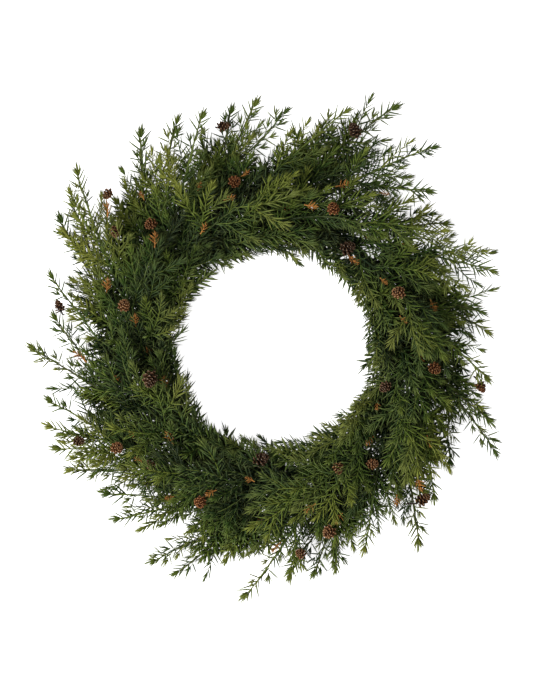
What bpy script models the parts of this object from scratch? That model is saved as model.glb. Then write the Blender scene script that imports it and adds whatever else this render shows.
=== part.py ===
# Fresh evergreen wreath, lying on its back with its front face up.
#
# A steel ring carries sprays of short-needled evergreen, laid one after another
# clockwise and bound on by one long green wire. They stand in four tiers: back and
# front sprays that swing outwards, crown sprays over the ring, and inner sprays
# round the hole. Each spray is a bare stem under the wire and, past it, one closed
# solid of the outer shape of its foliage. Small cones sit on the sprays.
#
# Metres, +Z up through the front face, +Y towards the top of the hanging wreath.

import math

import bmesh
import bpy
from mathutils import Matrix, Vector
from mathutils.bvhtree import BVHTree

# Ring and binding wire
RING_RADIUS = 0.155          # centre line of the steel ring
RING_ROD = 0.0025            # radius of its rod
RING_HEIGHT = 0.012          # height of its centre line above the floor
RING_STEPS = 72              # facets round the ring
RING_SIDES = 8
WIRE = 0.0006                # radius of the binding wire
WIRE_TURNS = 24
WIRE_START = -1.0            # degrees round the wreath where the first turn begins
WIRE_BEND = 42.0             # most degrees that the wire turns between two of its points
STEM = 0.0024                # radius of a bound stem
GAP = 0.0003                 # clearance between pieces that touch
SPRAY_SIDES = 8
EXIT_CLEARANCE = 2.0         # degrees from a wire turn to where a stem leaves the bundle
BOUND_STEP = 6.0             # degrees between sections of a bound stem
FREE_STEPS = 9               # sections of the free part of a spray
TIP_RADIUS = 0.0015

# Each tier: place of the stem round the ring's section (degrees, 0 is outwards and
# 90 is up), degrees of stem under the wire, angle at which it leaves the wire, first
# wire turn used, lengths of the two handles of its curve, half width and half
# thickness of its foliage, where along it the foliage is widest, height of the third
# control point and of the tip, the tip's heading in degrees clockwise of straight
# outwards, and the reach at which a spray has that full width. Then the tips:
# (degrees round the wreath, distance from its centre).
TIERS = {
    "back_spray": dict(
        slot=-20.0, bound=20.0, leave=21.0, turn=9, handles=(0.050, 0.075),
        half_width=0.039, half_thickness=0.0145, widest=0.66,
        heights=(0.0155, 0.020), heading=28.0, full_reach=0.300,
        tips=((94.4, 0.303), (63.5, 0.331), (36.0, 0.264), (5.0, 0.264),
              (-24.8, 0.300), (-53.0, 0.295), (-80.0, 0.282), (-113.5, 0.301),
              (-149.0, 0.290), (-180.0, 0.297), (-211.0, 0.306), (-238.0, 0.310)),
    ),
    "front_spray": dict(
        slot=45.0, bound=20.0, leave=24.0, turn=8, handles=(0.055, 0.075),
        half_width=0.036, half_thickness=0.0130, widest=0.64,
        heights=(0.053, 0.052), heading=33.0, full_reach=0.290,
        tips=((73.0, 0.304), (51.4, 0.315), (19.7, 0.283), (-8.0, 0.264),
              (-43.0, 0.268), (-66.0, 0.270), (-96.7, 0.302), (-133.0, 0.284),
              (-161.0, 0.290), (-198.0, 0.286), (-222.0, 0.322), (-253.0, 0.298)),
    ),
    "crown_spray": dict(
        slot=110.0, bound=33.0, leave=24.0, turn=10, handles=(0.070, 0.070),
        half_width=0.026, half_thickness=0.0120, widest=0.60,
        heights=(0.084, 0.080), heading=84.0, full_reach=0.185,
        tips=((90.0, 0.182), (45.0, 0.188), (0.0, 0.180), (-45.0, 0.190),
              (-90.0, 0.182), (-135.0, 0.190), (-180.0, 0.184), (-225.0, 0.188)),
    ),
    "inner_spray": dict(
        slot=180.0, bound=31.0, leave=24.0, turn=9, handles=(0.045, 0.050),
        half_width=0.0120, half_thickness=0.0140, widest=0.55,
        heights=(0.036, 0.040), heading=92.0, full_reach=0.130,
        tips=((90.0, 0.129), (45.0, 0.131), (0.0, 0.128), (-45.0, 0.131),
              (-90.0, 0.129), (-135.0, 0.130), (-180.0, 0.128), (-225.0, 0.130)),
    ),
}

# Cones: (degrees round the wreath, distance from its centre, length, lean in degrees)
CONES = (
    (68.8, 0.280, 0.022, 50.0), (104.0, 0.279, 0.018, 60.0), (103.7, 0.209, 0.020, 20.0),
    (133.8, 0.213, 0.019, 35.0), (66.8, 0.181, 0.020, 25.0), (54.9, 0.148, 0.023, 40.0),
    (23.8, 0.166, 0.021, 30.0), (164.5, 0.188, 0.020, 25.0), (170.2, 0.261, 0.018, 70.0),
    (-6.4, 0.194, 0.020, 30.0), (192.1, 0.152, 0.025, 35.0), (-9.2, 0.253, 0.018, 60.0),
    (212.3, 0.226, 0.020, 25.0), (261.2, 0.138, 0.024, 45.0), (-50.1, 0.182, 0.018, 30.0),
    (244.0, 0.203, 0.020, 20.0), (-46.7, 0.255, 0.021, 60.0), (-72.7, 0.232, 0.022, 25.0),
)
CONE_WIDTH = 0.86            # widest part over length
CONE_PROFILE = ((0.0, 0.16), (0.10, 0.62), (0.36, 1.0), (0.64, 0.86), (0.88, 0.48), (1.0, 0.14))
CONE_DROP_START = 0.14       # height from which a cone is lowered on to the foliage
CONE_DROP_STEP = 0.0002


def material(name, colour, roughness, metallic=0.0):
    made = bpy.data.materials.new(name)
    made.use_nodes = True
    shader = made.node_tree.nodes["Principled BSDF"]
    shader.inputs["Base Color"].default_value = (*colour, 1.0)
    shader.inputs["Roughness"].default_value = roughness
    shader.inputs["Metallic"].default_value = metallic
    return made


def add_object(name, mesh, finish, parent):
    made = bpy.data.objects.new(name, mesh)
    made.data.materials.append(finish)
    made.parent = parent
    bpy.context.collection.objects.link(made)
    return made


def polar(degrees, radius, height=0.0):
    angle = math.radians(degrees)
    return Vector((radius * math.cos(angle), radius * math.sin(angle), height))


def outward(degrees):
    return polar(degrees, 1.0)


def clockwise(degrees):
    return polar(degrees - 90.0, 1.0)


def slot_offset(slot):
    """Centre of a bound stem from the ring's centre line: (outwards, up)."""
    reach = RING_ROD + GAP + STEM
    angle = math.radians(slot)
    return reach * math.cos(angle), reach * math.sin(angle)


def in_section(degrees, out, up):
    return polar(degrees, RING_RADIUS + out, RING_HEIGHT + up)


def loft(name, stations):
    """Closed solid through oval sections, each (centre, heading, half width, half height)."""
    bm = bmesh.new()
    previous = None
    for centre, heading, half_width, half_height in stations:
        side = heading.cross(Vector((0.0, 0.0, 1.0))).normalized()
        top = side.cross(heading).normalized()
        frame = Matrix((side * half_width, top * half_height, heading)).transposed().to_4x4()
        frame.translation = centre
        ring = bmesh.ops.create_circle(bm, segments=SPRAY_SIDES, radius=1.0, matrix=frame)["verts"]
        edges = [edge for edge in bm.edges if edge.verts[0] in ring and edge.verts[1] in ring]
        if previous is None:
            bmesh.ops.contextual_create(bm, geom=edges)
        else:
            bmesh.ops.bridge_loops(bm, edges=previous + edges)
        previous = edges
    bmesh.ops.contextual_create(bm, geom=previous)
    bmesh.ops.recalc_face_normals(bm, faces=bm.faces)
    mesh = bpy.data.meshes.new(name)
    bm.to_mesh(mesh)
    bm.free()
    mesh.shade_smooth()
    mesh.set_sharp_from_angle(angle=math.radians(50.0))
    return mesh


def bezier(points, step):
    rest = 1.0 - step
    return (points[0] * rest ** 3 + points[1] * 3.0 * rest * rest * step
            + points[2] * 3.0 * rest * step * step + points[3] * step ** 3)


def swell(step, widest):
    """Foliage from 0 at the bare stem to 1 at its widest and 0 at the tip."""
    if step < widest:
        return math.sin(0.5 * math.pi * step / widest) ** 2.3
    return max(0.0, math.cos(0.5 * math.pi * (step - widest) / (1.0 - widest))) ** 0.8


def tangent_direction(first, second):
    """Direction, in degrees, in which the tight wire leaves one stem for the next."""
    return math.degrees(math.atan2(second[1] - first[1], second[0] - first[0])) - 90.0


def wire_turn():
    """One turn of the wire round the bundle's section, pulled tight over the bound stems.

    Gives (outwards, up, share of the turn) for each point, and the share at which the wire
    passes each stem.
    """
    slots = [tier["slot"] for tier in TIERS.values()]
    reach = STEM + GAP + WIRE
    points, arcs = [], []
    for number, slot in enumerate(slots):
        here = slot_offset(slot)
        start = tangent_direction(slot_offset(slots[number - 1]), here) % 360.0
        end = tangent_direction(here, slot_offset(slots[(number + 1) % len(slots)])) % 360.0
        span = (end - start) % 360.0
        steps = math.ceil(span / WIRE_BEND)
        arcs.append((slot, len(points), steps, ((slot - start) % 360.0) / span))
        for step in range(steps + 1):
            direction = math.radians(start + span * step / steps)
            points.append((here[0] + reach * math.cos(direction),
                           here[1] + reach * math.sin(direction)))
    lengths = [0.0]
    for number, point in enumerate(points):
        lengths.append(lengths[-1] + math.dist(point, points[(number + 1) % len(points)]))
    shares = [length / lengths[-1] for length in lengths]
    passing = {slot: shares[first] + (shares[first + steps] - shares[first]) * part
               for slot, first, steps, part in arcs}
    return [(*point, share) for point, share in zip(points, shares)], passing


def wire_crossing(slot, turn):
    """Degrees round the wreath at which a turn of the wire crosses a slot."""
    return WIRE_START + 360.0 * (turn + wire_turn()[1][slot]) / WIRE_TURNS


def spray_stations(tier, index):
    count = len(tier["tips"])
    out, up = slot_offset(tier["slot"])
    leaving = wire_crossing(tier["slot"], tier["turn"]) - EXIT_CLEARANCE - 360.0 / count * index

    bound_steps = math.ceil(tier["bound"] / BOUND_STEP)
    centres, sizes = [], []
    for step in range(bound_steps + 1):
        degrees = leaving + tier["bound"] * (1.0 - step / bound_steps)
        centres.append(in_section(degrees, out, up))
        sizes.append((STEM, STEM))

    leave = math.radians(tier["leave"])
    away = in_section(leaving, out, up) - in_section(leaving, 0.0, 0.0)
    first = clockwise(leaving) * math.cos(leave) + away.normalized() * math.sin(leave)
    tip_degrees, tip_reach = tier["tips"][index]
    heading = math.radians(tier["heading"])
    last = outward(tip_degrees) * math.cos(heading) + clockwise(tip_degrees) * math.sin(heading)
    near, far = tier["handles"]
    third_height, tip_height = tier["heights"]
    tip = polar(tip_degrees, tip_reach, tip_height)
    third = tip - last * far
    third.z = third_height
    controls = (centres[-1], centres[-1] + first * near, third, tip)
    half_width = tier["half_width"] * tip_reach / tier["full_reach"]
    for number in range(1, FREE_STEPS + 1):
        step = number / FREE_STEPS
        grown = swell(step, tier["widest"])
        slim = STEM + (TIP_RADIUS - STEM) * step
        centres.append(bezier(controls, step))
        sizes.append((slim + (half_width - slim) * grown,
                      slim + (tier["half_thickness"] - slim) * grown))

    stations = []
    for number, centre in enumerate(centres):
        before = centres[max(number - 1, 0)]
        after = centres[min(number + 1, len(centres) - 1)]
        stations.append((centre, (after - before).normalized(), *sizes[number]))
    return stations


def ring_mesh():
    """Steel ring: one round section spun about the wreath's axis, a facet facing the centre."""
    bm = bmesh.new()
    turn = Matrix.Rotation(math.radians(-180.0 / RING_STEPS), 4, "Z")
    upright = Matrix.Rotation(math.radians(90.0), 4, "X")
    facet = Matrix.Rotation(math.radians(180.0 / RING_SIDES), 4, "Z")
    place = turn @ Matrix.Translation((RING_RADIUS, 0.0, RING_HEIGHT)) @ upright @ facet
    bmesh.ops.create_circle(bm, segments=RING_SIDES, radius=RING_ROD, matrix=place)
    bmesh.ops.spin(bm, geom=bm.verts[:] + bm.edges[:], axis=(0.0, 0.0, 1.0), cent=(0.0, 0.0, 0.0),
                   angle=math.tau, steps=RING_STEPS, use_merge=True)
    bmesh.ops.remove_doubles(bm, verts=bm.verts, dist=0.00001)
    bmesh.ops.recalc_face_normals(bm, faces=bm.faces)
    mesh = bpy.data.meshes.new("ring_frame")
    bm.to_mesh(mesh)
    bm.free()
    mesh.shade_smooth()
    mesh.set_sharp_from_angle(angle=math.radians(50.0))
    return mesh


def wire_curve():
    """Binding wire: a closed coil round the ring and the stems."""
    curve = bpy.data.curves.new("binding_wire", "CURVE")
    curve.dimensions = "3D"
    curve.bevel_depth = WIRE
    curve.bevel_resolution = 0
    curve.use_fill_caps = True
    route = []
    for turn in range(WIRE_TURNS):
        for out, up, share in wire_turn()[0]:
            route.append(in_section(WIRE_START + 360.0 * (turn + share) / WIRE_TURNS, out, up))
    spline = curve.splines.new("POLY")
    spline.points.add(len(route) - 1)
    for point, place in zip(spline.points, route):
        point.co = (*place, 1.0)
    spline.use_cyclic_u = True
    return curve


def cone_mesh(name, length, lean, degrees):
    """A short round cone, its butt at the origin, leaning away from upright."""
    axis = Matrix.Rotation(math.radians(degrees * 7.0), 3, "Z") @ (
        Matrix.Rotation(math.radians(lean), 3, "Y") @ Vector((0.0, 0.0, 1.0)))
    stations = []
    for along, wide in CONE_PROFILE:
        radius = wide * 0.5 * CONE_WIDTH * length
        stations.append((axis * (along * length), axis, radius, radius))
    return loft(name, stations)


def seat_cone(mesh, foliage, degrees, radius):
    """Lower a cone until it meets the foliage under it, and leave it a gap above."""
    corners = [vertex.co for vertex in mesh.vertices]
    faces = [tuple(face.vertices) for face in mesh.polygons]
    place = polar(degrees, radius, CONE_DROP_START)
    while place.z > 0.0:
        tree = BVHTree.FromPolygons([corner + place for corner in corners], faces)
        if tree.overlap(foliage):
            break
        place.z -= CONE_DROP_STEP
    place.z += CONE_DROP_STEP + 2.0 * GAP
    return place


def foliage_tree(sprays):
    corners, faces = [], []
    for spray in sprays:
        start = len(corners)
        corners += [vertex.co.copy() for vertex in spray.data.vertices]
        faces += [tuple(start + corner for corner in face.vertices) for face in spray.data.polygons]
    return BVHTree.FromPolygons(corners, faces)


def stand_on_floor(wreath):
    """Put the middle of the underside of the whole wreath at the world's origin."""
    bpy.context.view_layer.update()
    depsgraph = bpy.context.evaluated_depsgraph_get()
    corners = []
    for piece in wreath.children:
        shape = piece.evaluated_get(depsgraph).to_mesh()
        corners += [piece.matrix_world @ vertex.co for vertex in shape.vertices]
    low = [min(corner[axis] for corner in corners) for axis in range(3)]
    high = [max(corner[axis] for corner in corners) for axis in range(3)]
    wreath.location = (-0.5 * (low[0] + high[0]), -0.5 * (low[1] + high[1]), -low[2])


def main():
    for old in list(bpy.data.objects):
        bpy.data.objects.remove(old, do_unlink=True)
    wreath = bpy.data.objects.new("wreath", None)
    bpy.context.collection.objects.link(wreath)

    steel = material("ring_steel", (0.035, 0.045, 0.035), 0.45, 0.8)
    green_wire = material("green_wire", (0.020, 0.075, 0.030), 0.40, 0.3)
    tints = {
        "back_spray": (0.030, 0.075, 0.018), "front_spray": (0.045, 0.105, 0.022),
        "crown_spray": (0.065, 0.135, 0.030), "inner_spray": (0.035, 0.085, 0.030),
    }
    brown = material("cone_brown", (0.160, 0.062, 0.028), 0.70)

    add_object("ring_frame", ring_mesh(), steel, wreath)
    add_object("binding_wire", wire_curve(), green_wire, wreath)

    sprays = []
    for tier_name, tier in TIERS.items():
        finish = material(tier_name + "_green", tints[tier_name], 0.55)
        for index in range(len(tier["tips"])):
            name = f"{tier_name}_{index + 1:02d}"
            sprays.append(add_object(name, loft(name, spray_stations(tier, index)), finish, wreath))

    foliage = foliage_tree(sprays)
    for number, (degrees, radius, length, lean) in enumerate(CONES, start=1):
        mesh = cone_mesh(f"cone_{number:02d}", length, lean, degrees)
        cone = add_object(f"cone_{number:02d}", mesh, brown, wreath)
        cone.location = seat_cone(mesh, foliage, degrees, radius)

    stand_on_floor(wreath)


main()
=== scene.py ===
# Looks of a fresh evergreen wreath that lies on its back, front face up.
# Metres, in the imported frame: +Z up out of the front face, +Y to the top of the wreath.
# Needles are modelled once and copied on to sprigs, sprigs on to branchlets, and
# branchlets on to the forty sprays, each of which takes the place of its CAD solid.

import math
import random

import bpy
import numpy
from mathutils import Matrix, Vector
from mathutils.bvhtree import BVHTree


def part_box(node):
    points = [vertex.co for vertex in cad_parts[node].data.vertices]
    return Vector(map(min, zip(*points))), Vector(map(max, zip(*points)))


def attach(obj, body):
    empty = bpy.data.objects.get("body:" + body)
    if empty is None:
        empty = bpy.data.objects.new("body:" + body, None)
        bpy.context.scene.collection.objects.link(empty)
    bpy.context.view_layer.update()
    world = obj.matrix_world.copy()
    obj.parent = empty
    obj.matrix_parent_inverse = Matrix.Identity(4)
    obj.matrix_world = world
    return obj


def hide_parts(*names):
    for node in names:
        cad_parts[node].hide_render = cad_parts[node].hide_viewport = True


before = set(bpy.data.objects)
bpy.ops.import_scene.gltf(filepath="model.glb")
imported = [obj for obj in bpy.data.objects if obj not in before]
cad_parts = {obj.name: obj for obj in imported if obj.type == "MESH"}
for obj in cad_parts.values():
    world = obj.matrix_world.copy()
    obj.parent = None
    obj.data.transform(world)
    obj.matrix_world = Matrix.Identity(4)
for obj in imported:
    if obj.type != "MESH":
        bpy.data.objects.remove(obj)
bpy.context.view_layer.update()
ringLow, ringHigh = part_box("ring_frame")
centre = (ringLow + ringHigh) * 0.5
print("frame loaded:", len(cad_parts), "nodes")

# The wreath's own sizes, as the frame has them. boundStep is in degrees round the ring.
wreath = {
    "ringRadius": 0.155, "ringRod": 0.0025, "ringHeight": 0.012,
    "stem": 0.0024, "gap": 0.0003, "boundStep": 6.0,
}
upward = Vector((0.0, 0.0, 1.0))
goldenAngle = 137.5


def between(ends, share):
    return ends[0] + (ends[1] - ends[0]) * share


# The view is straight down, with two soft lamps and a floor that glows a little.
view = {"across": 0.6464, "aside": -0.0092, "along": 0.0041, "plane": 0.05, "distance": 3.5, "sensor": 36.0}
lamps = {
    "key": {"place": (-1.35, -0.65, 2.1), "size": 1.5, "power": 96.0},
    "fill": {"place": (1.0, 0.9, 2.3), "size": 1.4, "power": 20.0},
}
sky = {"colour": (1.0, 1.0, 1.0), "strength": 0.16}
ground = {"size": 9.0, "colour": (0.90, 0.90, 0.895), "glow": 0.75, "roughness": 0.7}


def setCamera():
    spot = (centre.x + view["aside"], centre.y + view["along"], view["plane"] + view["distance"])
    bpy.ops.object.camera_add(location=spot, rotation=(0.0, 0.0, 0.0))
    camera = bpy.context.object
    camera.data.sensor_fit = "HORIZONTAL"
    camera.data.sensor_width = view["sensor"]
    camera.data.lens = view["sensor"] * view["distance"] / view["across"]
    camera.data.clip_end = 50.0
    bpy.context.scene.camera = camera


def setLights():
    for name, lamp in lamps.items():
        bpy.ops.object.light_add(type="AREA", location=lamp["place"])
        light = bpy.context.object
        light.name = name + "Light"
        light.data.size = lamp["size"]
        light.data.energy = lamp["power"]
        light.rotation_euler = (-light.location).to_track_quat("-Z", "Y").to_euler()
    world = bpy.data.worlds.new("softSky")
    world.use_nodes = True
    background = world.node_tree.nodes["Background"]
    background.inputs["Color"].default_value = (*sky["colour"], 1.0)
    background.inputs["Strength"].default_value = sky["strength"]
    bpy.context.scene.world = world
    bpy.context.scene.view_settings.view_transform = "Standard"


def setFloor():
    bpy.ops.mesh.primitive_plane_add(size=ground["size"], location=(0.0, 0.0, 0.0))
    floor = bpy.context.object
    floor.name = "floor"
    pale, shader = newMaterial("paleFloor", ground["colour"], ground["roughness"])
    shader.inputs["Emission Color"].default_value = (1.0, 1.0, 1.0, 1.0)
    shader.inputs["Emission Strength"].default_value = ground["glow"]
    floor.data.materials.append(pale)
    floor.visible_diffuse = False        # its glow neither lights the wreath from below
    floor.visible_glossy = False         # nor shines on its needles


# Bands up the foliage map: green needles reach up to green, dried ones lie above it, then bark.
bands = {
    "green": 0.72, "blend": 0.015, "mostGreen": 0.71, "mostShaded": 0.66, "mostDried": 0.84,
    "bark": 0.91, "barkWidth": 0.07, "stemWidth": 0.012,
}
foliageLook = {
    # tone of a needle, from old and in painted shade to young and in painted light, then dried and bark
    "tones": (
        (0.00, (0.0055, 0.014, 0.0045)), (0.12, (0.015, 0.033, 0.008)), (0.26, (0.036, 0.071, 0.013)),
        (0.40, (0.077, 0.116, 0.018)), (0.55, (0.142, 0.170, 0.027)), (0.70, (0.228, 0.241, 0.041)),
        (0.75, (0.260, 0.100, 0.024)), (0.80, (0.440, 0.190, 0.048)), (0.85, (0.220, 0.080, 0.024)),
        (0.90, (0.048, 0.056, 0.018)), (0.95, (0.080, 0.084, 0.028)), (1.00, (0.042, 0.036, 0.016)),
    ),
    "underside": (0.075, 0.105, 0.050), "underShare": 0.30,
    "tip": (0.260, 0.270, 0.060), "tipShare": 0.22, "tipStart": 0.20,
    # base, its share and baseEnd make painted shade: a darker foot on each needle, where it sits among the
    # others
    "base": (0.018, 0.030, 0.010), "baseShadeShare": 0.35, "baseEnd": 0.16, "fold": (0.49, 0.51),
    "roughness": 0.50, "shine": 0.16,
}
coneLook = {
    # along a scale from its foot to its lip; the near-black foot is painted shade where the scales overlap
    "depths": (
        (0.00, (0.009, 0.004, 0.002)), (0.55, (0.040, 0.014, 0.005)), (0.80, (0.112, 0.043, 0.013)),
        (0.90, (0.205, 0.097, 0.034)), (0.96, (0.545, 0.385, 0.225)),
    ),
    # from old and weathered through pale-tipped to red
    "tints": ((0.00, (0.40, 0.52, 0.80)), (0.22, (0.62, 0.70, 0.92)), (0.45, (1.15, 1.14, 1.16)),
              (0.80, (1.10, 0.86, 0.68))),
    "roughness": 0.62, "shine": 0.2,
    "grain": 26.0, "grainDetail": 3.0, "grainSpan": (0.3, 0.7), "mottle": (0.72, 1.12),
}
metalLook = {
    "detail": 4.0, "wornFrom": (0.45, 0.70), "wornGain": 2.2, "noiseSpan": (0.3, 0.7),
    "roughnessSpan": (-0.1, 0.15), "bump": 0.25, "bumpDepth": 0.0003,
}
# for each node its finish's name, colour, roughness, metallic and scale of its unevenness
metalFinishes = {
    "ring_frame": ("ringPaint", (0.020, 0.028, 0.020), 0.40, 0.3, 90.0),
    "binding_wire": ("wireEnamel", (0.012, 0.052, 0.020), 0.34, 0.2, 240.0),
}


def newMaterial(name, colour, roughness, metallic=0.0):
    made = bpy.data.materials.new(name)
    made.use_nodes = True
    shader = made.node_tree.nodes["Principled BSDF"]
    shader.inputs["Base Color"].default_value = (*colour, 1.0)
    shader.inputs["Roughness"].default_value = roughness
    shader.inputs["Metallic"].default_value = metallic
    return made, shader


def addNode(tree, kind, **settings):
    made = tree.nodes.new(kind)
    for name, value in settings.items():
        setattr(made, name, value)
    return made


# A socket takes a link from another or a value of its own.
def feed(tree, socket, value):
    if isinstance(value, bpy.types.NodeSocket):
        tree.links.new(value, socket)
    else:
        socket.default_value = (*value, 1.0) if isinstance(value, tuple) else value


def addRamp(tree, stops, factor):
    ramp = addNode(tree, "ShaderNodeValToRGB")
    colours = ramp.color_ramp.elements
    while len(colours) < len(stops):
        colours.new(0.5)
    for element, (position, colour) in zip(colours, stops):
        element.position = position
        element.color = (*colour, 1.0)
    tree.links.new(factor, ramp.inputs["Fac"])
    return ramp.outputs["Color"]


def addMix(tree, share, first, second, blend="MIX"):
    mix = addNode(tree, "ShaderNodeMix", data_type="RGBA", blend_type=blend)
    for socket, value in ((mix.inputs["Factor"], share), (mix.inputs[6], first), (mix.inputs[7], second)):
        feed(tree, socket, value)
    return mix.outputs[2]


def addMath(tree, operation, first, second):
    made = addNode(tree, "ShaderNodeMath", operation=operation)
    feed(tree, made.inputs[0], first)
    feed(tree, made.inputs[1], second)
    return made.outputs["Value"]


def addStep(tree, value, low, high, lowOut=0.0, highOut=1.0):
    step = addNode(tree, "ShaderNodeMapRange", clamp=True)
    tree.links.new(value, step.inputs["Value"])
    for name, number in (("From Min", low), ("From Max", high), ("To Min", lowOut), ("To Max", highOut)):
        step.inputs[name].default_value = number
    return step.outputs["Result"]


def addNoise(tree, place, scale, detail):
    noise = addNode(tree, "ShaderNodeTexNoise")
    noise.inputs["Scale"].default_value = scale
    noise.inputs["Detail"].default_value = detail
    tree.links.new(place, noise.inputs["Vector"])
    return noise.outputs["Fac"]


def mapParts(tree):
    place = addNode(tree, "ShaderNodeUVMap", uv_map="OFBake")
    parts = addNode(tree, "ShaderNodeSeparateXYZ")
    tree.links.new(place.outputs["UV"], parts.inputs["Vector"])
    return place.outputs["UV"], parts.outputs["X"], parts.outputs["Y"]


# Across the map: a needle's upper face from base to tip, and back again on its underside.
# Up the map: its tone. Dried needles and bark have bands of their own at the top.
def foliageMaterial():
    made, shader = newMaterial("needles", (0.06, 0.12, 0.03), foliageLook["roughness"])
    tree = made.node_tree
    shader.inputs["Specular IOR Level"].default_value = foliageLook["shine"]
    _, along, tone = mapParts(tree)
    green = addStep(tree, tone, bands["green"], bands["green"] + bands["blend"], 1.0, 0.0)
    under = addStep(tree, along, *foliageLook["fold"])
    toTip = addMath(tree, "PINGPONG", along, 0.5)
    tipShare = addStep(tree, toTip, foliageLook["tipStart"], 0.50, 0.0, foliageLook["tipShare"])
    # painted shade at the foot of each needle
    baseShadeShare = addStep(tree, toTip, 0.0, foliageLook["baseEnd"], foliageLook["baseShadeShare"], 0.0)
    underShare = addMath(tree, "MULTIPLY", under, foliageLook["underShare"])
    colour = addRamp(tree, foliageLook["tones"], tone)
    for share, tint in ((underShare, foliageLook["underside"]), (tipShare, foliageLook["tip"]),
                        (baseShadeShare, foliageLook["base"])):
        colour = addMix(tree, addMath(tree, "MULTIPLY", share, green), colour, tint)
    tree.links.new(colour, shader.inputs["Base Color"])
    return made


# Across the map: from a scale's foot to its lip. Up the map: from dark cones to red ones.
def coneMaterial():
    made, shader = newMaterial("coneScales", (0.16, 0.06, 0.03), coneLook["roughness"])
    tree = made.node_tree
    shader.inputs["Specular IOR Level"].default_value = coneLook["shine"]
    place, depth, tone = mapParts(tree)
    colour = addRamp(tree, coneLook["depths"], depth)
    tint = addRamp(tree, coneLook["tints"], tone)
    colour = addMix(tree, 1.0, colour, tint, "MULTIPLY")
    grain = addNoise(tree, place, coneLook["grain"], coneLook["grainDetail"])
    mottle = addStep(tree, grain, *coneLook["grainSpan"], *coneLook["mottle"])
    shade = addNode(tree, "ShaderNodeCombineColor")
    for channel in ("Red", "Green", "Blue"):
        tree.links.new(mottle, shade.inputs[channel])
    colour = addMix(tree, 1.0, colour, shade.outputs["Color"], "MULTIPLY")
    tree.links.new(colour, shader.inputs["Base Color"])
    return made


# Paint or enamel on metal, a little uneven and worn in places.
def paintedMetal(name, colour, roughness, metallic, scale):
    made, shader = newMaterial(name, colour, roughness, metallic)
    tree = made.node_tree
    noise = addNoise(tree, addNode(tree, "ShaderNodeTexCoord").outputs["Object"], scale, metalLook["detail"])
    worn = tuple(min(1.0, part * metalLook["wornGain"] + 0.01) for part in colour)
    shade = addMix(tree, addStep(tree, noise, *metalLook["wornFrom"]), colour, worn)
    tree.links.new(shade, shader.inputs["Base Color"])
    smoother, rougher = metalLook["roughnessSpan"]
    uneven = addStep(tree, noise, *metalLook["noiseSpan"], roughness + smoother, roughness + rougher)
    tree.links.new(uneven, shader.inputs["Roughness"])
    bump = addNode(tree, "ShaderNodeBump")
    bump.inputs["Strength"].default_value = metalLook["bump"]
    bump.inputs["Distance"].default_value = metalLook["bumpDepth"]
    tree.links.new(noise, bump.inputs["Height"])
    tree.links.new(bump.outputs["Normal"], shader.inputs["Normal"])
    return made


def deselectAll():
    bpy.ops.object.select_all(action="DESELECT")


def newMap(mesh):
    for old in list(mesh.uv_layers):
        mesh.uv_layers.remove(old)
    return mesh.uv_layers.new(name="OFBake").data


def mapArray(mesh):
    values = numpy.empty(len(mesh.loops) * 2, "f")
    mesh.uv_layers["OFBake"].data.foreach_get("uv", values)
    return values


# The vertices of a mesh, one row for each.
def placeRows(mesh):
    places = numpy.empty(len(mesh.vertices) * 3, "f")
    mesh.vertices.foreach_get("co", places)
    return places.reshape(-1, 3)


def shiftTone(mesh, amount, most):
    values = mapArray(mesh)
    tone = values[1::2]
    green = tone < bands["green"]
    tone[green] = numpy.minimum(tone[green] + amount, most)
    mesh.uv_layers["OFBake"].data.foreach_set("uv", values)


# A copy of a model with its own mesh: it grows along heading and leans towards toward.
def placed(model, origin, heading, toward, size=1.0, tone=0.0, most=bands["mostGreen"]):
    heading = heading.normalized()
    lean = (toward - heading * toward.dot(heading)).normalized()
    turn = Matrix((lean, heading.cross(lean), heading)).transposed().to_4x4()
    mesh = model.data.copy()
    mesh.transform(Matrix.Translation(origin) @ turn @ Matrix.Scale(size, 4))
    if tone:
        shiftTone(mesh, tone, most)
    made = bpy.data.objects.new(model.name, mesh)
    bpy.context.collection.objects.link(made)
    return made


def joined(pieces, name):
    deselectAll()
    for piece in pieces:
        piece.select_set(True)
    bpy.context.view_layer.objects.active = pieces[0]
    if len(pieces) > 1:
        bpy.ops.object.join()
    made = bpy.context.view_layer.objects.active
    made.name = name
    made.data.name = name
    return made


def selectWhere(mesh, test):
    for vertex in mesh.vertices:
        vertex.select = test(vertex.co)
    for part in (*mesh.edges, *mesh.polygons):
        part.select = all(mesh.vertices[corner].select for corner in part.vertices)


def putAway(model):
    model.hide_render = True
    model.hide_set(True)
    models.append(model)
    return model


models = []


# A route is a twig's line as a list of points.
def bezierRoute(points, steps=24):
    route = []
    for number in range(steps + 1):
        step = number / steps
        rest = 1.0 - step
        route.append(points[0] * rest ** 3 + points[1] * 3.0 * rest * rest * step
                     + points[2] * 3.0 * rest * step * step + points[3] * step ** 3)
    return route


# An arc of the given length that starts along +Z and bends towards +X.
def arcRoute(length, bend, steps):
    turn = math.radians(bend)
    route = []
    for number in range(steps + 1):
        angle = turn * number / steps
        radius = length / turn
        route.append(Vector((radius * (1.0 - math.cos(angle)), 0.0, radius * math.sin(angle))))
    return route


def routeLength(route):
    return sum((after - before).length for before, after in zip(route, route[1:]))


def onRoute(route, distance):
    for before, after in zip(route, route[1:]):
        span = (after - before).length
        if distance <= span or after is route[-1]:
            return before.lerp(after, distance / span), (after - before).normalized()
        distance -= span


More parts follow.
